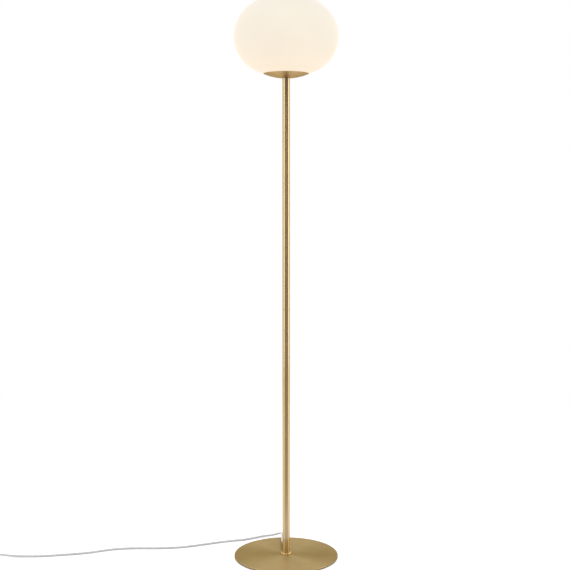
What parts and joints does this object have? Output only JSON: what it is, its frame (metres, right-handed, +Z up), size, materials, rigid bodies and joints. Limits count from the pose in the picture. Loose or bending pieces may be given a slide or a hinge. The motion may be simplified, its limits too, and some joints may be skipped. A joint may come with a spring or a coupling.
{
  "type": "floor lamp",
  "caption": "Floor lamp with an opal glass globe in a shallow brass dish on a slim jointed brass pole and thin round plate, with its cord, foot switch and plug.",
  "frame": {"origin": "on the floor under the middle of the round plate", "axes": "+Z up along the pole, -X to the side that the cord lies on, -Y to the front"},
  "size_m": [1.1174, 0.3009, 1.5],
  "materials": {
    "pad": "dark felt",
    "brass": "brushed and lacquered",
    "turned_brass": "plain turned",
    "steel": "zinc plated",
    "spring_steel": "bright strip",
    "gasket": "clear silicone",
    "opal_glass": "satin opal, lit",
    "holder": "white thermoplastic",
    "contact_brass": "thin strip",
    "bulb_cap": "rolled thread",
    "bulb_plastic": "white",
    "bulb_dome": "frosted diffuser",
    "cord": "light grey PVC",
    "fittings": "light grey moulded",
    "button": "light grey",
    "pin_metal": "nickel plated",
    "sleeve": "black"
  },
  "bodies": {
    "lamp": {"floor_pad": "pad", "base_plate": "brass", "plate_washer": "steel", "foot_collar": "brass", "pole_tube_1": "brass", "pole_tube_2": "brass", "pole_tube_3": "brass", "pole_tube_4": "brass", "pole_joiners": "turned_brass", "pole_sockets": "turned_brass", "pole_end_bushes": "turned_brass", "base_stem": "steel", "head_stem": "steel", "stem_nuts": "steel", "dish": "brass", "head_spacer": "turned_brass", "clip_plate": "steel", "spring_clips": "spring_steel", "clip_rivets": "steel", "globe_gasket": "gasket", "holder_cap": "holder", "holder_barrel": "holder", "contact_block": "holder", "screw_shell": "contact_brass", "contact_tongue": "contact_brass", "cord_grommet": "fittings", "switch_base": "fittings", "switch_cover": "fittings", "switch_block": "fittings", "return_leaf": "spring_steel", "switch_screws": "steel", "switch_relief_in": "fittings", "switch_relief_out": "fittings", "plug_body": "fittings", "plug_pins": "pin_metal", "pin_sleeves": "sleeve", "plug_relief": "fittings", "cord_lead": "cord", "cord_coil": "cord", "cord_link": "cord", "cord_tail": "cord", "pole_cable": "cord"},
    "globe": {"globe": "opal_glass"},
    "bulb": {"bulb_tip": "contact_brass", "bulb_cap": "bulb_cap", "bulb_collar": "bulb_plastic", "bulb_dome": "bulb_dome"},
    "button": {"switch_button": "button"}
  },
  "joints": [
    {"name": "globe_lift", "type": "slide", "parent": "lamp", "child": "globe", "axis": [0, 0, 1], "range_m": [0, 0.135]},
    {"name": "bulb_draw", "type": "slide", "parent": "lamp", "child": "bulb", "axis": [0, 0, 1], "range_m": [0, 0.035]},
    {"name": "switch_press", "type": "slide", "parent": "lamp", "child": "button", "axis": [0, 0, -1], "range_m": [0, 0.003], "stiffness_N_per_m": 1500, "springref_m": -0.001, "deforming": ["return_leaf"]}
  ]
}
